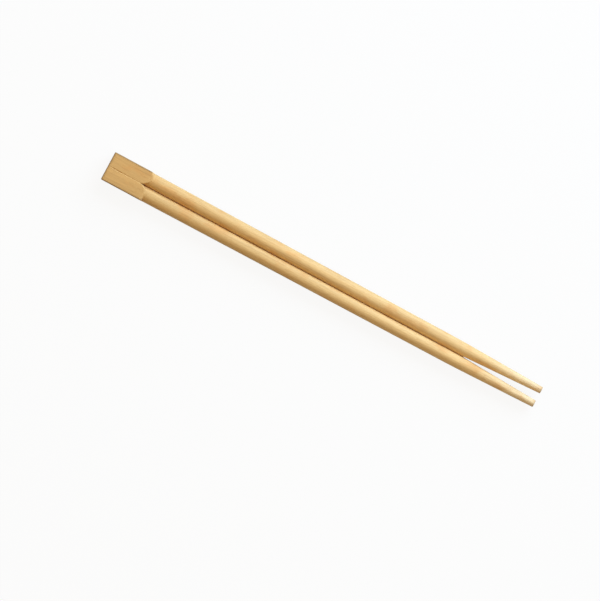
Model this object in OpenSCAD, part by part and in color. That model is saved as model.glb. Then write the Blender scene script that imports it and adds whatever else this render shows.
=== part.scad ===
// Twin bamboo chopsticks: one slat, rounded and slit into a pair of sticks that stay joined
// at a flat head until they are snapped apart. Sizes are in millimetres and angles in degrees.
// X runs from the head to the tips, Y across the pair and Z up. The pair lies on its underside.

/* [Head] */
// Overall length of the pair, from the head's end to the tips
pair_length = 210; // [195:1:240]
// Width of the flat head
head_width = 13.3; // [13.1:0.1:15]
// Thickness of the flat head
head_thickness = 6.7; // [6.6:0.1:7.6]
// Length of the flat head, up to the crowns of its shoulders
head_length = 19.6; // [14:0.2:30]
// Chamfer along the edges of the head
edge_break = 0.3; // [0.1:0.05:0.5]

/* [Shoulders] */
// Radius of each tongue-shaped shoulder, seen from above
shoulder_radius = 4.5; // [4.3:0.1:6]
// Distance between the centres of the shoulders
shoulder_pitch = 8; // [6.8:0.1:8.2]
// Lean of the shoulder walls from upright
shoulder_lean = 15; // [5:1:40]

/* [Sticks] */
// Distance between the axes of the sticks at the shoulders
stick_pitch = 6.44; // [6.3:0.02:6.6]
// Diameter of each stick at the shoulders
stick_diameter = 6.4; // [6:0.05:6.5]
// Diameter of each stick where its tip starts
waist_diameter = 5.66; // [5:0.02:6]

/* [Slit and score] */
// Width of the sawn slit between the sticks
slit_width = 0.3; // [0.2:0.05:0.6]
// Distance that the slit runs into the head, past the notch between the shoulders
slit_lead = 0.4; // [0.1:0.1:4]
// Width of the snapping score along the head
score_width = 0.4; // [0.2:0.05:0.8]
// Depth of the snapping score
score_depth = 0.3; // [0.1:0.05:0.6]
// Length at the head's end that the score leaves plain
score_margin = 2.8; // [1:0.2:8]
// Radius of the wheel that runs the score out
score_wheel_radius = 8; // [4:0.5:20]

/* [Tips] */
// Distance between the centres of the tips
tip_pitch = 6.04; // [5.8:0.02:6.6]
// Length of the tapered tip of each stick
tip_length = 38; // [25:1:60]
// Diameter at the end of each tip
tip_diameter = 2.9; // [2.2:0.1:3.6]
// Chamfer round the end of each tip
tip_break = 0.3; // [0.1:0.05:0.6]

/* [Hidden] */
$fn = 120;

bamboo_colour = [0.87, 0.71, 0.46];

// Tools reach this far past the faces that they cut
overrun = 1;

// Shoulders: the notch is where the two tongues meet on the face of the head
shoulder_x = head_length - shoulder_radius;
notch_x = shoulder_x + sqrt(pow(shoulder_radius, 2) - pow(shoulder_pitch / 2, 2));
shoulder_reach = shoulder_radius + head_thickness / 2 * tan(shoulder_lean);
slit_x = notch_x - slit_lead;

// Sticks: their axes lean towards each other, from the shoulders to the tips
stick_run = norm([pair_length - head_length, (stick_pitch - tip_pitch) / 2]);
stick_lean = asin((stick_pitch - tip_pitch) / 2 / stick_run);
waist_run = stick_run - tip_length;
stick_slope = (stick_diameter - waist_diameter) / 2 / waist_run;
tip_slope = (waist_diameter - tip_diameter) / 2 / tip_length;

// The sticks start inside the head and are fused with it
stick_root = head_length / 2;

// The score reaches its full depth where the wheel stands at the bottom of its run-out
score_runout = sqrt(pow(score_wheel_radius, 2) - pow(score_wheel_radius - score_depth, 2));
score_x = score_margin + score_runout;

// Rectangle round the origin with its corners cut off
module bevelled_rectangle(length, width) {
    difference() {
        square([length, width], center = true);
        for (x = [-1, 1], y = [-1, 1])
            translate([x * length / 2, y * width / 2])
                rotate(45)
                    square(edge_break * sqrt(2), center = true);
    }
}

// Solid turned about the X axis from a list of [radius, x] points
module turned_along_x(outline) {
    rotate([0, 90, 0])
        rotate_extrude()
            polygon(outline);
}

// Section in Y and Z drawn out along X
module drawn_along_x(from_x, to_x) {
    translate([from_x, 0, 0])
        rotate([90, 0, 90])
            linear_extrude(to_x - from_x)
                children();
}

// Slat of the head, with its long edges and the edges of its end chamfered
module head_blank() {
    blank_length = head_length + shoulder_reach;
    intersection() {
        drawn_along_x(0, blank_length)
            bevelled_rectangle(head_width, head_thickness);
        translate([blank_length, 0, 0])
            linear_extrude(head_thickness + 2 * overrun, center = true)
                bevelled_rectangle(2 * blank_length, head_width);
        translate([blank_length, 0, 0])
            rotate([90, 0, 0])
                linear_extrude(head_width + 2 * overrun, center = true)
                    bevelled_rectangle(2 * blank_length, head_thickness);
    }
}

// Disc with a ridge round its middle, whose wall leans outwards from both faces of the head
module shoulder_disc() {
    height = head_thickness / 2 + overrun;
    face_radius = shoulder_reach - height * tan(shoulder_lean);
    rotate_extrude()
        polygon([
            [0, -height], [face_radius, -height], [shoulder_reach, 0], [face_radius, height], [0, height]
        ]);
}

// Flat head that ends in a rounded shoulder over each stick
module head() {
    intersection() {
        head_blank();
        union() {
            translate([-overrun, -head_width / 2 - overrun, -head_thickness / 2 - overrun])
                cube([shoulder_x + overrun, head_width + 2 * overrun, head_thickness + 2 * overrun]);
            for (side = [-1, 1])
                translate([shoulder_x, side * shoulder_pitch / 2, 0])
                    shoulder_disc();
        }
    }
}

// Round stick on the left of the pair: a long slim cone that ends in a tapered tip
module stick() {
    translate([head_length, stick_pitch / 2, 0])
        rotate([0, 0, -stick_lean])
            turned_along_x([
                [0, -stick_root],
                [stick_diameter / 2 + stick_slope * stick_root, -stick_root],
                [waist_diameter / 2, waist_run],
                [tip_diameter / 2 + tip_slope * tip_break, stick_run - tip_break],
                [tip_diameter / 2 - tip_break, stick_run],
                [0, stick_run]
            ]);
}

// Saw cut that parts the sticks
module slit() {
    translate([slit_x, -slit_width / 2, -head_thickness / 2 - overrun])
        cube([pair_length - slit_x + overrun, slit_width, head_thickness + 2 * overrun]);
}

// V-shaped section of the score with its bottom at the origin, drawn past the face of the head
module score_section() {
    rise = score_depth + overrun;
    spread = score_width / 2 * rise / score_depth;
    polygon([[0, 0], [spread, rise], [-spread, rise]]);
}

// Score along the upper face of the head, run out by a wheel at the plain end
module score() {
    bottom_z = head_thickness / 2 - score_depth;
    translate([0, 0, bottom_z])
        drawn_along_x(score_x, head_length)
            score_section();
    translate([score_x, 0, bottom_z + score_wheel_radius])
        rotate([90, 0, 0])
            rotate([0, 0, 180])
                rotate_extrude(angle = 90)
                    translate([score_wheel_radius, 0])
                        rotate(90)
                            score_section();
}

// The whole pair: one piece of bamboo
module chopstick_pair() {
    color(bamboo_colour)
        translate([-pair_length / 2, 0, head_thickness / 2])
            difference() {
                union() {
                    head();
                    stick();
                    mirror([0, 1, 0])
                        stick();
                }
                slit();
                score();
                mirror([0, 0, 1])
                    score();
            }
}

chopstick_pair();
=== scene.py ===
"""Twin bamboo chopsticks, still joined at their flat head, seen from straight above.

The pair is one skin: two round sticks grow out of a flat head and a saw cut parts them.
The shape functions work in millimetres: along starts at the head's end, across at the saw cut and
up at half the thickness. Meshes and places in the scene are in metres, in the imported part's frame.
"""

import math

import bmesh
import bpy
import numpy as np
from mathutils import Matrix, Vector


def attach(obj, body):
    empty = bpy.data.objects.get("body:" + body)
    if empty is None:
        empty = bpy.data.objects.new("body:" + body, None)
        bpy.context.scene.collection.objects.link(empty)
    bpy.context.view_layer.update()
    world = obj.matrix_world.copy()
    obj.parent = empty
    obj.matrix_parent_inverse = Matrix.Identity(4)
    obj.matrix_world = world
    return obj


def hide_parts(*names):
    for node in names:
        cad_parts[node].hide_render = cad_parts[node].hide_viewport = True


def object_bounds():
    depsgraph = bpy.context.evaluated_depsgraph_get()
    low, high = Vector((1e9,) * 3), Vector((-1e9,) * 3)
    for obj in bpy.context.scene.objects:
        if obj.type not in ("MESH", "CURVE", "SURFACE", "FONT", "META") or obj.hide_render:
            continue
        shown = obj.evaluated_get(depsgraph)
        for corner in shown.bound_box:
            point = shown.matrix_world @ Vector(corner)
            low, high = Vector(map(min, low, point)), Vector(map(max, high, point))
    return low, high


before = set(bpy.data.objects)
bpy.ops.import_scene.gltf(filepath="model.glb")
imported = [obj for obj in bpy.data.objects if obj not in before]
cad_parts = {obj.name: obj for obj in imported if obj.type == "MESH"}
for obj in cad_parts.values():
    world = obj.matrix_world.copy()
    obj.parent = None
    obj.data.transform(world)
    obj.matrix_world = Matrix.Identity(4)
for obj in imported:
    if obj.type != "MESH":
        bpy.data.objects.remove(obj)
cad_low, cad_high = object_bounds()

# Sizes of the pair in millimetres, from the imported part's box

MM = 0.001
PAIR_LENGTH = (cad_high.x - cad_low.x) / MM
HALF_WIDTH = (cad_high.y - cad_low.y) / MM / 2
HALF_THICKNESS = (cad_high.z - cad_low.z) / MM / 2

# Lengths nearer than this count as the same
NEGLIGIBLE = 1e-6

# Each stick: its axis' distance from the saw cut and its radius, at the shoulder, waist and tip.
# The left stick has the side 1 and the right stick, which is flush with the head, the side -1.
SHOULDER_ALONG = 19.6
WAIST_ALONG = 171
STICKS = {
    1: {"axis": (3.25, 2.93, 3.25), "radius": (3.2, 2.92, 1.5)},
    -1: {"axis": (3.36, 2.94, 3.33), "radius": (3.25, 2.93, 1.58)},
}
WAIST_BLEND = 0.12
TIP_ROUNDING = 0.4

# Inside the head a stick draws in towards its root, which stays clear of the rim of the head's end
ROOT_ALONG = 15
ROOT_SLOPE = 0.06

# Flats left round a stick by the cutters that rounded it: their number and depth, their turn for
# each millimetre along the stick, how far and how fast they sway, and the turn of where they fade
FLAT_COUNT = 9
FLAT_DEPTH = 0.014
FLAT_DRIFT = 0.011
FLAT_SWAY = 0.8
FLAT_SWAY_RATE = 0.021
FLAT_FADE_RATE = 0.03

# The head's edges, and the fillet where a stick leaves it
HEAD_ROUNDING = 0.5
SHOULDER_FILLET = 0.18

# Tongue over each stick: where its crown stands, and how far it falls back beside the crown
TONGUES = {
    1: {"crown": (20.0, 3.4), "inner_fall": 3.3, "inner_power": 1.5, "outer_fall": 1.9},
    -1: {"crown": (19.5, 3.9), "inner_fall": 3.2, "inner_power": 4.0, "outer_fall": 0.2},
}
TONGUE_LEAN = math.radians(15)
TONGUE_ROUNDING = 0.8

# Saw cut between the sticks, which all but closes over a share of its height
SLIT_HALF_WIDTH = 0.14
SLIT_MIDDLE_HALF_WIDTH = 0.001
SLIT_CLOSED_SHARE = 0.45
SLIT_ALONG = 16.3

# Score that continues the saw cut over the head, and fades to a share of its depth on the way
SCORE_HALF_WIDTH = 0.3
SCORE_DEPTH = 0.3
SCORE_ALONG = 1.6
SCORE_WHEEL_RADIUS = 8
SCORE_FADE = (6.0, 10.0)
SCORE_FADED_SHARE = 0.3

# Stretches along the pair, and how many sections are drawn in each
END_STRETCH = 0.6
SHOULDER_END = 21.2
TIP_START = 164
END_COUNT = 9
HEAD_COUNT = 26
SHOULDER_COUNT = 78
SHAFT_COUNT = 84
TIP_COUNT = 40
STATION_DIGITS = 9

# Points round each section, and the bells that gather them at the head's corners and at the saw cut,
# which stands near the end of the sweep
AROUND_COUNT = 124
CUT_PLACE = 0.97
BELL_WIDTH = 0.05
BELL_HEIGHT = 2.5
WALK_COUNT = 4001

# Points up the wall of the saw cut and across it, and the least height of that wall
WALL_COUNT = 21
STRIP_COUNT = 5
LOWEST_WALL = 0.25

# Rays that find the skin: their lengths, and how often they are halved
RAY_LENGTH = 9.0
FACE_RAY_LENGTH = HALF_THICKNESS + 1.0
HALVINGS = 44

# Rings of a flat end, as shares of its rim
CAP_SHARES = (1, 0.86, 0.68, 0.48, 0.28, 0.12, 0)

# Points nearer than this are welded, in metres, and edges sharper than this stay crisp
WELD_DISTANCE = 2e-7
SHARP_ANGLE = math.radians(40)

# Wear of the edges, together with painted shade that darkens them as if they turned from the light:
# its level at an edge and the width that it covers. On the head it fades out over the last stretch
# before the shoulders.
HEAD_WEAR_AND_SHADE = 1.2
HEAD_WEAR_AND_SHADE_WIDTH = 0.7
HEAD_WEAR_AND_SHADE_FADE = 1.5
TIP_WEAR_AND_SHADE = 0.55
TIP_WEAR_AND_SHADE_WIDTH = 0.8


# Fields: below nought inside the bamboo, above nought outside

def rounded_max(first, second, width):
    """Larger of two fields, lifted by width h^2 / 4, where h falls from 1 to 0 as they part by width."""
    overlap = np.maximum(width - np.abs(first - second), 0) / width
    return np.maximum(first, second) + overlap**2 * width / 4


def rounded_min(first, second, width):
    """Smaller of two fields with a fillet: the rounded maximum of their opposites, turned back."""
    return -rounded_max(-first, -second, width)


def stick_axis(along, side):
    """Distance of a stick's axis from the saw cut: straight runs from shoulder to waist to tip."""
    return np.interp(along, [SHOULDER_ALONG, WAIST_ALONG, PAIR_LENGTH], STICKS[side]["axis"])


def stick_radius(along, side):
    """Radius of a stick: the smaller of the shaft's line and the tip's line, blended at the waist.

    Inside the head the shaft keeps its radius at first, and then draws in along a straight line.
    """
    shoulder_radius, waist_radius, tip_radius = STICKS[side]["radius"]
    shaft_slope = (shoulder_radius - waist_radius) / (WAIST_ALONG - SHOULDER_ALONG)
    tip_slope = (waist_radius - tip_radius) / (PAIR_LENGTH - WAIST_ALONG)
    shaft = shoulder_radius - shaft_slope * np.maximum(along - SHOULDER_ALONG, 0)
    shaft = shaft - ROOT_SLOPE * np.maximum(ROOT_ALONG - along, 0)
    tip = tip_radius + tip_slope * (PAIR_LENGTH - along)
    return rounded_min(shaft, tip, WAIST_BLEND)


def stick_field(along, across, up, side):
    """Distance from the axis less the radius, rippled by flats, and ended square with a round rim.

    The flats are a cosine of the turn round the axis that drifts and sways along the stick. A slower
    cosine of the turn lets them fade out and return.
    """
    out = across - stick_axis(along, side)
    turn = np.arctan2(up, out)
    drift = FLAT_DRIFT * along + side + FLAT_SWAY * np.sin(FLAT_SWAY_RATE * along + 2 * side)
    fade = np.cos(2 * turn - FLAT_FADE_RATE * along + side)
    flats = FLAT_DEPTH * np.cos(FLAT_COUNT * turn + drift) * fade
    round_body = np.hypot(out, up) - stick_radius(along, side) - flats
    return rounded_max(round_body, along - PAIR_LENGTH, TIP_ROUNDING)


def score_depth(along):
    """Depth of the score: an arc down to full depth where the wheel went in, then a slow fade."""
    run_out = math.sqrt(SCORE_WHEEL_RADIUS**2 - (SCORE_WHEEL_RADIUS - SCORE_DEPTH) ** 2)
    before = np.clip(SCORE_ALONG + run_out - along, 0, run_out)
    arc = SCORE_DEPTH - SCORE_WHEEL_RADIUS + np.sqrt(SCORE_WHEEL_RADIUS**2 - before**2)
    return arc * np.interp(along, SCORE_FADE, [1, SCORE_FADED_SHARE])


def head_field(along, across, up, side):
    """Rounded slat, ended by a leaning wall over the tongue's outline and cut by the V of the score.

    The outline falls back from the crown by a power of the way to the saw cut, and by the square of
    the way to the outer side.
    """
    tongue = TONGUES[side]
    crown_along, crown_across = tongue["crown"]
    inner = np.clip((crown_across - across) / crown_across, 0, 1) ** tongue["inner_power"]
    outer = np.maximum((across - crown_across) / (HALF_WIDTH - crown_across), 0) ** 2
    front = crown_along - tongue["inner_fall"] * inner - tongue["outer_fall"] * outer
    wall = along - front - (HALF_THICKNESS - np.abs(up)) * math.tan(TONGUE_LEAN)
    slat = rounded_max(np.abs(up) - HALF_THICKNESS, across - HALF_WIDTH, HEAD_ROUNDING)
    slat = rounded_max(slat, -along, HEAD_ROUNDING)
    slat = rounded_max(slat, wall * math.cos(TONGUE_LEAN), TONGUE_ROUNDING)
    depth = np.maximum(score_depth(along), NEGLIGIBLE)
    scored = 1 - np.abs(across) / SCORE_HALF_WIDTH - (HALF_THICKNESS - np.abs(up)) / depth
    flank = 1 / np.hypot(1 / SCORE_HALF_WIDTH, 1 / depth)
    return np.maximum(slat, scored * flank)


def pair_field(along, across, up, side):
    """Head and stick together, with a small fillet between them."""
    stick = stick_field(along, across, up, side)
    head = head_field(along, across, up, side)
    return rounded_min(stick, head, SHOULDER_FILLET)


# The skin: every point slides along a straight ray until the field is nought

def ray_reach(field, longest):
    """Distance along each ray at which a field of the distance turns positive, by halving."""
    near = np.zeros_like(longest)
    far = longest
    for _ in range(HALVINGS):
        middle = (near + far) / 2
        inside = field(middle) < 0
        near = np.where(inside, middle, near)
        far = np.where(inside, far, middle)
    return (near + far) / 2


def face_height(along, across, side, face):
    """Distance of the upper (1) or under (-1) face from half the thickness.

    It is the reach of an upright ray.
    """
    longest = np.full(np.broadcast(along, across).shape, FACE_RAY_LENGTH)
    return ray_reach(lambda up: pair_field(along, across, face * up, side), longest)


def skin_reach(along, angle, side):
    """Distance of the skin from a stick's axis along rays turned by angle from straight out."""
    axis = stick_axis(along, side)
    longest = np.full(np.broadcast(along, angle).shape, RAY_LENGTH)
    return ray_reach(
        lambda far: pair_field(along, axis + far * np.cos(angle), far * np.sin(angle), side), longest
    )


def placed(along, across, up, side):
    """Points in metres in the part's frame from the three lengths, mirrored for the right side."""
    along, across, up = np.broadcast_arrays(along, across, up)
    points = np.stack([along - PAIR_LENGTH / 2, across * side, up + HALF_THICKNESS], axis=-1)
    return points * MM


def gathered(count, places):
    """Numbers from 1 to -1 that lie closer together round some places.

    They are an even walk through the sum of a level floor and a bell at each place.
    """
    fine = np.linspace(1, -1, WALK_COUNT)
    density = np.ones_like(fine)
    for place in places:
        density += BELL_HEIGHT * np.exp(-(((fine - place) / BELL_WIDTH) ** 2))
    walked = np.concatenate([[0], np.cumsum((density[1:] + density[:-1]) / 2)])
    return np.interp(np.linspace(0, walked[-1], count), walked, fine)


def stations():
    """Places along the pair at which its section is drawn, closest at its ends and shoulders.

    Near an end they lie at the squares of even steps, the first just inside the end, and elsewhere
    at even steps.
    """
    from_end = np.maximum(END_STRETCH * np.linspace(0, 1, END_COUNT) ** 2, NEGLIGIBLE)
    stretches = [
        from_end,
        np.linspace(END_STRETCH, SLIT_ALONG, HEAD_COUNT),
        np.linspace(SLIT_ALONG, SHOULDER_END, SHOULDER_COUNT),
        np.linspace(SHOULDER_END, TIP_START, SHAFT_COUNT),
        np.linspace(TIP_START, PAIR_LENGTH - END_STRETCH, TIP_COUNT),
        PAIR_LENGTH - from_end,
    ]
    return np.unique(np.concatenate(stretches).round(STATION_DIGITS))


def half_skin(side, along):
    """Outer skin and saw-cut wall of one stick with its half of the head, as two grids of points.

    The outer skin sweeps from the saw cut over the top, the side and the underside back to the cut.
    The wall climbs the cut from the underside to the top. Round half its height it swells by a
    parabola, so that the cut, sawn from both faces, all but closes there.
    """
    axis = stick_axis(along, side)[:, None]
    beside_cut = np.full_like(along, SLIT_HALF_WIDTH)
    upper_lip, under_lip = (
        np.maximum(face_height(along, beside_cut, side, face), LOWEST_WALL)[:, None]
        for face in (1, -1)
    )
    upper_turn, under_turn = (
        np.pi - np.arctan2(lip, axis - SLIT_HALF_WIDTH) for lip in (upper_lip, under_lip)
    )
    corner = math.atan2(HALF_THICKNESS, HALF_WIDTH - float(axis[0, 0])) / float(upper_turn[0, 0])
    sweep = gathered(AROUND_COUNT, [-CUT_PLACE, -corner, corner, CUT_PLACE])[None, :]
    angle = sweep * np.where(sweep > 0, upper_turn, under_turn)
    reach = skin_reach(along[:, None], angle, side)
    outer = placed(along[:, None], axis + reach * np.cos(angle), reach * np.sin(angle), side)

    cut = along >= SLIT_ALONG - NEGLIGIBLE
    share = np.linspace(-1, 1, WALL_COUNT)[None, :]
    climb = share * np.where(share > 0, upper_lip[cut], under_lip[cut])
    angle = np.pi - np.arctan2(climb, axis[cut] - SLIT_HALF_WIDTH)
    to_wall = (axis[cut] - SLIT_HALF_WIDTH) / -np.cos(angle)
    reach = np.minimum(skin_reach(along[cut][:, None], angle, side), to_wall)
    closing = np.clip(1 - (share / SLIT_CLOSED_SHARE) ** 2, 0, 1)
    closing = closing * (SLIT_HALF_WIDTH - SLIT_MIDDLE_HALF_WIDTH)
    closing = closing * (along[cut] > SLIT_ALONG + NEGLIGIBLE)[:, None] * (reach == to_wall)
    wall_across = axis[cut] + reach * np.cos(angle) - closing
    wall = placed(along[cut][:, None], wall_across, reach * np.sin(angle), side)
    return outer, wall


def middle_height(along, across, face):
    """Distance of a face from half the thickness near the saw cut, on whichever half a place lies."""
    left = face_height(along, np.abs(across), 1, face)
    right = face_height(along, np.abs(across), -1, face)
    return np.where(across > 0, left, right)


def middle_strip(along, face):
    """Strip of the head's upper (1) or under (-1) face between the two halves, over the score."""
    across = np.linspace(SLIT_HALF_WIDTH, -SLIT_HALF_WIDTH, STRIP_COUNT)[None, :]
    return placed(along[:, None], across, face * middle_height(along[:, None], across, face), 1)


def slit_end(along):
    """End of the saw cut inside the head: a grid from side to side and from face to face."""
    across = np.linspace(SLIT_HALF_WIDTH, -SLIT_HALF_WIDTH, STRIP_COUNT)[:, None]
    share = np.linspace(-1, 1, WALL_COUNT)[None, :]
    height = np.where(share > 0, middle_height(along, across, 1), middle_height(along, across, -1))
    return placed(along, across, share * height, 1)


def end_cap(loop):
    """Flat end: the closed loop drawn in towards its middle, ring by ring, to a point."""
    shares = np.array(CAP_SHARES)[:, None, None]
    middle = loop.mean(axis=0)
    return middle + shares * (np.vstack([loop, loop[:1]]) - middle)


def grid_faces(rows, columns, first):
    """Corner numbers of the quads between neighbouring rows and columns of a grid of points."""
    corner = first + np.arange(rows - 1)[:, None] * columns + np.arange(columns - 1)[None, :]
    corners = [corner, corner + 1, corner + columns + 1, corner + columns]
    return np.stack(corners, axis=-1).reshape(-1, 4)


def mesh_of_grids(name, grids):
    """One closed mesh from grids of points whose borders meet.

    Doubles along the borders merge, and all faces turn outwards.
    """
    points = []
    faces = []
    first = 0
    for grid in grids:
        rows, columns = grid.shape[:2]
        points.append(grid.reshape(-1, 3))
        faces.append(grid_faces(rows, columns, first))
        first += rows * columns
    mesh = bpy.data.meshes.new(name)
    mesh.from_pydata(np.concatenate(points).tolist(), [], np.concatenate(faces).tolist())
    welded = bmesh.new()
    welded.from_mesh(mesh)
    bmesh.ops.remove_doubles(welded, verts=welded.verts, dist=WELD_DISTANCE)
    bmesh.ops.recalc_face_normals(welded, faces=welded.faces)
    welded.to_mesh(mesh)
    welded.free()
    mesh.polygons.foreach_set("use_smooth", np.ones(len(mesh.polygons), bool))
    mesh.set_sharp_from_angle(angle=SHARP_ANGLE)
    mesh.update()
    return mesh


def chopstick_pair_mesh():
    """The whole skin: two half skins, the strips and cut end between them, and the three flat ends."""
    along = stations()
    left_outer, left_wall = half_skin(1, along)
    right_outer, right_wall = half_skin(-1, along)
    joined = along[along <= SLIT_ALONG + NEGLIGIBLE]
    top_strip = middle_strip(joined, 1)
    under_strip = middle_strip(joined, -1)
    head_loop = np.concatenate(
        [left_outer[0], under_strip[0, 1:-1], right_outer[0, ::-1], top_strip[0, -2:0:-1]]
    )
    left_tip_loop = np.concatenate([left_outer[-1], left_wall[-1, 1:-1]])
    right_tip_loop = np.concatenate([right_outer[-1], right_wall[-1, 1:-1]])
    grids = [
        left_outer,
        left_wall,
        right_outer,
        right_wall,
        top_strip,
        under_strip,
        slit_end(joined[-1:]),
        end_cap(head_loop),
        end_cap(left_tip_loop),
        end_cap(right_tip_loop),
    ]
    return mesh_of_grids("bamboo_pair", grids)


# Edges of the head and rims of the tips: their wear, with painted shade that darkens them as if turned
# from the light
def add_wear_and_edge_shade(mesh):
    """Writes how near each point is to an edge of the head or of a tip's end, from 0 to 1.

    On the head that is the second smallest distance to the slat's faces. At the tips it is the larger
    of the distance from the end and the distance in from the stick's rim.
    """
    points = np.empty(len(mesh.vertices) * 3)
    mesh.vertices.foreach_get("co", points)
    along, across, up = (points.reshape(-1, 3) / MM).T
    along = along + PAIR_LENGTH / 2
    up = np.abs(up - HALF_THICKNESS)
    faces = np.sort(np.stack([along, HALF_WIDTH - np.abs(across), HALF_THICKNESS - up]), axis=0)
    on_head = np.clip((SHOULDER_ALONG - along) / HEAD_WEAR_AND_SHADE_FADE, 0, 1)
    head_edge = np.clip(HEAD_WEAR_AND_SHADE - faces[1] / HEAD_WEAR_AND_SHADE_WIDTH, 0, 1) * on_head
    within_left, within_right = (
        stick_radius(along, side) - np.hypot(across * side - stick_axis(along, side), up)
        for side in (1, -1)
    )
    from_rim = np.maximum(PAIR_LENGTH - along, np.where(across > 0, within_left, within_right))
    tip_edge = np.clip(1 - from_rim / TIP_WEAR_AND_SHADE_WIDTH, 0, 1) * TIP_WEAR_AND_SHADE
    wear_and_shade = mesh.attributes.new("wear_and_edge_shade", "FLOAT", "POINT")
    wear_and_shade.data.foreach_set("value", np.maximum(head_edge, tip_edge).astype(np.float32))


# Nodes of the materials and of the world

NOISE_ROUGHNESS = 0.55


def opaque(colour):
    """A colour with full alpha, as a colour socket takes it."""
    return (*colour, 1.0)


def grey(level):
    """An opaque grey of one level."""
    return opaque((level, level, level))


def set_stops(ramp, stops):
    """Gives a colour ramp its stops, each a place from 0 to 1 and a colour."""
    while len(ramp.elements) > 1:
        ramp.elements.remove(ramp.elements[-1])
    for number, (place, colour) in enumerate(stops):
        stop = ramp.elements[0] if number == 0 else ramp.elements.new(place)
        stop.position = place
        stop.color = opaque(colour)


class Socket:
    """An output of a node; sums and products with it add Math nodes to the same tree."""

    def __init__(self, tree, output):
        self.tree = tree
        self.output = output

    def node(self, kind, settings=None, inputs=None, output=0):
        """Adds a node of a type, sets its settings, then gives its sockets values or links."""
        added = self.tree.nodes.new(kind)
        for name, value in (settings or {}).items():
            if name == "stops":
                set_stops(added.color_ramp, value)
            else:
                setattr(added, name, value)
        for name, value in (inputs or {}).items():
            if isinstance(value, Socket):
                self.tree.links.new(value.output, added.inputs[name])
            else:
                added.inputs[name].default_value = value
        return Socket(self.tree, added.outputs[output] if added.outputs else None)

    def math(self, operation, first, second):
        """A Math node on two values."""
        return self.node("ShaderNodeMath", {"operation": operation}, {0: first, 1: second})

    def __add__(self, other):
        return self.math("ADD", self, other)

    def __radd__(self, other):
        return self.math("ADD", other, self)

    def __mul__(self, other):
        return self.math("MULTIPLY", self, other)

    def __rmul__(self, other):
        return self.math("MULTIPLY", other, self)

    def larger(self, other):
        """The larger of two values."""
        return self.math("MAXIMUM", self, other)

    def eased(self, low, high):
        """0 below low and 1 above high, with a smooth step between; low may be the larger."""
        return self.node(
            "ShaderNodeMapRange",
            {"interpolation_type": "SMOOTHSTEP"},
            {"Value": self, "From Min": low, "From Max": high, "To Min": 0.0, "To Max": 1.0},
        )

    def stretched(self, factors):
        """A vector multiplied part by part."""
        return self.node("ShaderNodeVectorMath", {"operation": "MULTIPLY"}, {0: self, 1: factors})

    def scaled(self, factor):
        """A vector or colour multiplied by one value."""
        return self.node("ShaderNodeVectorMath", {"operation": "SCALE"}, {0: self, "Scale": factor})

    def moved(self, other):
        """A vector with another added."""
        return self.node("ShaderNodeVectorMath", {"operation": "ADD"}, {0: self, 1: other})

    def noise(self, stretch, scale, detail, output=0):
        """Noise at this vector multiplied part by part; output 0 is its value and 1 its colour."""
        inputs = {"Vector": self.stretched(stretch), "Scale": scale, "Detail": detail}
        inputs["Roughness"] = NOISE_ROUGHNESS
        return self.node("ShaderNodeTexNoise", None, inputs, output)

    def tinted(self, colour, factor):
        """This colour mixed towards another by a factor."""
        inputs = {0: factor, 6: self, 7: opaque(colour)}
        return self.node("ShaderNodeMix", {"data_type": "RGBA"}, inputs, 2)


def new_material(name):
    """An empty node material and a socket to start its nodes from."""
    material = bpy.data.materials.new(name)
    material.use_nodes = True
    material.node_tree.nodes.clear()
    return material, Socket(material.node_tree, None)


def finish_material(start, shader):
    """Links a shader to the material's output."""
    start.node("ShaderNodeOutputMaterial", None, {"Surface": shader})


# Bare bamboo

# Colours, linear
HEAD_COLOUR = (0.625, 0.375, 0.138)
ROOT_COLOUR = (0.67, 0.425, 0.17)
SHAFT_COLOUR = (0.73, 0.485, 0.212)
TIP_COLOUR = (0.76, 0.585, 0.35)
BUNDLE_COLOUR = (0.42, 0.235, 0.085)
ORANGE_COLOUR = (0.66, 0.34, 0.11)
# Dark brown of the head's edges and the tips' rims: partly wear, partly painted shade of edges turned
# from the light
WORN_SHADED_EDGE_COLOUR = (0.19, 0.11, 0.042)

# Ground colour at shares of the pair's length
COLOUR_STOPS = [
    (0.08, HEAD_COLOUR),
    (0.11, ROOT_COLOUR),
    (0.7, SHAFT_COLOUR),
    (0.86, SHAFT_COLOUR),
    (1.0, TIP_COLOUR),
]

# Noises of the grain, on millimetres: small factors along the pair draw them out into streaks
WANDER = {"stretch": (0.03, 0.12, 0.12), "scale": 1.0, "detail": 1.0}
FIBRE = {"stretch": (0.02, 1.0, 1.0), "scale": 5.5, "detail": 3.0}
FLECK = {"stretch": (0.05, 1.0, 1.0), "scale": 3.2, "detail": 2.0}
PORE = {"stretch": (0.024, 1.0, 1.0), "scale": 7.5, "detail": 1.0}
BAND = {"stretch": (0.008, 0.45, 0.45), "scale": 1.0, "detail": 2.0}
PATCH = {"stretch": (0.11, 0.2, 0.2), "scale": 1.0, "detail": 2.0}

# The grain wanders sideways by the noise's distance from its mean, a half
WANDER_SHIFT = (-0.5, -0.5, -0.5)
WANDER_WIDTH = (0.0, 1.6, 1.6)

# Bundles of fibre: cells that run nearly the whole length
BUNDLE_STRETCH = (0.006, 1.0, 1.0)
BUNDLE_SCALE = 1.3

# Where each noise starts to show and where it shows in full, and how strongly it then tints
BUNDLE_EDGE = (0.46, 0.18)
FLECK_EDGE = (0.56, 0.72)
PORE_EDGE = (0.62, 0.7)
PATCH_EDGE = (0.49, 0.7)
BUNDLE_TINT = 0.3
FLECK_TINT = 0.4
PORE_TINT = 0.55
PATCH_TINT = 0.52
# How far the edges go to their dark brown, for wear and for painted edge shade
EDGE_WEAR_AND_SHADE_TINT = 0.75

# Brightness: a level, and what the bands and the fibres add to it
GROUND_LEVEL = 0.64
BAND_LEVEL = 0.46
FIBRE_LEVEL = 0.34

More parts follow.
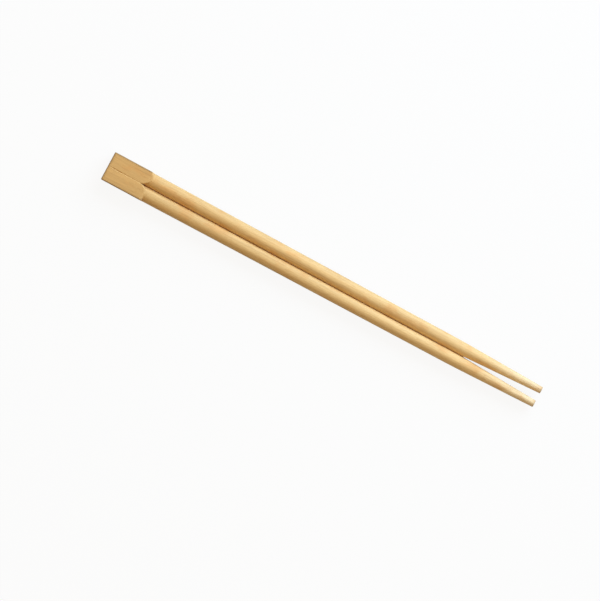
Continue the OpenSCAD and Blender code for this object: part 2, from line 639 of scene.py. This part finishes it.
# Relief, with its depth in millimetres
BUNDLE_RELIEF = 0.6
RELIEF_STRENGTH = 0.35
RELIEF_DEPTH = 0.06

# Gloss and sheen of the sanded surface
ROUGHNESS = 0.45
FIBRE_ROUGHNESS = 0.2
SPECULAR_LEVEL = 0.2
SHEEN_WEIGHT = 0.1
SHEEN_ROUGHNESS = 0.5


def bamboo_material():
    """Bare bamboo, paler towards the tips.

    Its bundles of fibre run the length, so they show as streaks along the sticks and as dots on the
    ends. Fine dark pores lie between them, over soft bands and patches, and the edges are darkened by
    wear and by painted shade.
    """
    material, start = new_material("bare_bamboo")
    place = start.node("ShaderNodeTexCoord", output="Object").scaled(1 / MM)
    along = place.node("ShaderNodeSeparateXYZ", None, {0: place}) + PAIR_LENGTH / 2

    wander = place.noise(**WANDER, output=1).moved(WANDER_SHIFT).stretched(WANDER_WIDTH)
    grown = place.moved(wander)
    bundle_distance = grown.node(
        "ShaderNodeTexVoronoi",
        None,
        {"Vector": grown.stretched(BUNDLE_STRETCH), "Scale": BUNDLE_SCALE, "Randomness": 1.0},
    )
    bundle = bundle_distance.eased(*BUNDLE_EDGE)
    fibre = grown.noise(**FIBRE)
    fleck = grown.noise(**FLECK).eased(*FLECK_EDGE)
    pore = grown.noise(**PORE).eased(*PORE_EDGE)
    band = grown.noise(**BAND)
    patch = place.noise(**PATCH).eased(*PATCH_EDGE)
    # Edge wear and painted edge shade, read from the mesh's attribute
    wear_and_shade = start.node("ShaderNodeAttribute", {"attribute_name": "wear_and_edge_shade"}, None, "Fac")

    streaks = (bundle * BUNDLE_TINT).larger(fleck * FLECK_TINT).larger(pore * PORE_TINT)
    ground = {"Fac": along * (1 / PAIR_LENGTH)}
    colour = start.node("ShaderNodeValToRGB", {"stops": COLOUR_STOPS}, ground)
    colour = colour.tinted(ORANGE_COLOUR, patch * PATCH_TINT)
    colour = colour.tinted(BUNDLE_COLOUR, streaks)
    colour = colour.scaled(GROUND_LEVEL + BAND_LEVEL * band + FIBRE_LEVEL * fibre)
    # Edges go towards dark brown: wear, and painted shade where the edges turn from the light
    colour = colour.tinted(WORN_SHADED_EDGE_COLOUR, wear_and_shade * EDGE_WEAR_AND_SHADE_TINT)

    relief = {
        "Strength": RELIEF_STRENGTH,
        "Distance": RELIEF_DEPTH * MM,
        "Height": fibre + bundle * BUNDLE_RELIEF,
    }
    shader = start.node(
        "ShaderNodeBsdfPrincipled",
        None,
        {
            "Base Color": colour,
            "Roughness": ROUGHNESS + FIBRE_ROUGHNESS * fibre,
            "Normal": start.node("ShaderNodeBump", None, relief),
            "Specular IOR Level": SPECULAR_LEVEL,
            "Sheen Weight": SHEEN_WEIGHT,
            "Sheen Roughness": SHEEN_ROUGHNESS,
        },
    )
    finish_material(start, shader)
    return material


# Studio: floor, lamp, world and camera

# Floor: its half width and its drop below the pair in metres, its grey where it is seen and where
# it bounces light, and the share of plain white that it shows
FLOOR_HALF = 3.0
FLOOR_DROP = 0.0002
FLOOR_SHOWN = 0.75
FLOOR_BOUNCE = 0.55
FLOOR_WHITE = 0.9
WHITE = (1.0, 1.0, 1.0, 1.0)

# Light: a warm fill from overhead and a cool lamp beside the left stick, in watts and metres
FILL_ZENITH = 0.89
FILL_COLOUR = (1.0, 0.81, 0.52)
KEY_POWER = 22.4
KEY_COLOUR = (0.76, 1.0, 1.31)
KEY_SIZE = (1.2, 0.9)
KEY_PLACE = (0.35, 1.05, 0.6)

# The photograph: its frame in pixels, the pair's middle in it, its scale and the pair's turn
FRAME_WIDTH = 600
FRAME_HEIGHT = 601
PAIR_COLUMN = 323.1
PAIR_ROW = 281.4
MM_PER_PIXEL = 0.4305
PAIR_TURN = math.radians(28.3)

# Camera: its height above the pair in metres and its sensor's width in millimetres
CAMERA_HEIGHT = 2.0
SENSOR = 36.0


def seen_directly(start):
    """1 on rays from the camera and on reflected or refracted rays, and 0 on rays that only light."""
    camera, glossy, through = (
        start.node("ShaderNodeLightPath", None, None, ray)
        for ray in ("Is Camera Ray", "Is Glossy Ray", "Is Transmission Ray")
    )
    return camera.larger(glossy).larger(through)


def floor_material():
    """Pale matt floor that shows mostly white where it is seen, and keeps the shadow."""
    material, start = new_material("pale_floor")
    seen = seen_directly(start)
    greys = {0: seen, 6: grey(FLOOR_BOUNCE), 7: grey(FLOOR_SHOWN)}
    colour = start.node("ShaderNodeMix", {"data_type": "RGBA"}, greys, 2)
    matt = start.node("ShaderNodeBsdfDiffuse", None, {"Color": colour})
    white = start.node("ShaderNodeEmission", None, {"Color": WHITE, "Strength": 1.0})
    shown = start.node("ShaderNodeMixShader", None, {0: seen * FLOOR_WHITE, 1: matt, 2: white})
    finish_material(start, shown)
    return material


def add_object(name, data):
    """An object at the origin, linked into the scene."""
    added = bpy.data.objects.new(name, data)
    bpy.context.scene.collection.objects.link(added)
    return added


def build_pair():
    """The chopsticks' skin in bare bamboo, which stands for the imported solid."""
    mesh = chopstick_pair_mesh()
    add_wear_and_edge_shade(mesh)
    mesh.materials.append(bamboo_material())
    pair = add_object("bamboo_pair", mesh)
    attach(pair, "root")
    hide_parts("chopstick_pair")


def build_floor():
    """A level square a little under the pair."""
    mesh = bpy.data.meshes.new("floor")
    corners = np.array([[-1, -1, 0], [1, -1, 0], [1, 1, 0], [-1, 1, 0]]) * FLOOR_HALF
    corners[:, 2] = -FLOOR_DROP
    mesh.from_pydata(corners.tolist(), [], [[0, 1, 2, 3]])
    mesh.materials.append(floor_material())
    add_object("floor", mesh)


def build_key():
    """One broad soft lamp beside the left stick, turned towards the pair."""
    lamp = bpy.data.lights.new("key", "AREA")
    lamp.shape = "RECTANGLE"
    lamp.size, lamp.size_y = KEY_SIZE
    lamp.energy = KEY_POWER
    lamp.color = KEY_COLOUR
    key = add_object("key", lamp)
    key.location = KEY_PLACE
    key.rotation_euler = key.location.to_track_quat("Z", "Y").to_euler()


def build_fill():
    """Light from overhead that falls off to the horizon; the world is white where it is seen."""
    world = bpy.data.worlds.new("studio")
    world.use_nodes = True
    world.node_tree.nodes.clear()
    start = Socket(world.node_tree, None)
    direction = start.node("ShaderNodeTexCoord", output="Generated")
    height = start.node("ShaderNodeSeparateXYZ", None, {0: direction}, "Z").larger(0.0)
    overhead = {"Color": opaque(FILL_COLOUR), "Strength": FILL_ZENITH * height}
    fill = start.node("ShaderNodeBackground", None, overhead)
    white = start.node("ShaderNodeBackground", None, {"Color": WHITE, "Strength": 1.0})
    shown = start.node("ShaderNodeMixShader", None, {0: seen_directly(start), 1: fill, 2: white})
    start.node("ShaderNodeOutputWorld", None, {"Surface": shown})
    bpy.context.scene.world = world


def build_camera():
    """Looks straight down from far off, turned so that the pair slants as in the photograph."""
    lens = bpy.data.cameras.new("camera")
    lens.sensor_width = SENSOR
    lens.lens = SENSOR * CAMERA_HEIGHT / (FRAME_HEIGHT * MM_PER_PIXEL * MM)
    camera = add_object("camera", lens)
    camera.rotation_euler = (0.0, 0.0, PAIR_TURN)
    right = np.array([math.cos(PAIR_TURN), math.sin(PAIR_TURN)])
    up = np.array([-math.sin(PAIR_TURN), math.cos(PAIR_TURN)])
    shift = (PAIR_COLUMN - FRAME_WIDTH / 2) * right + (FRAME_HEIGHT / 2 - PAIR_ROW) * up
    camera.location = (*(-shift * MM_PER_PIXEL * MM), CAMERA_HEIGHT + HALF_THICKNESS * MM)
    bpy.context.scene.camera = camera


build_pair()
build_floor()
build_key()
build_fill()
build_camera()
bpy.context.scene.view_settings.view_transform = "Standard"
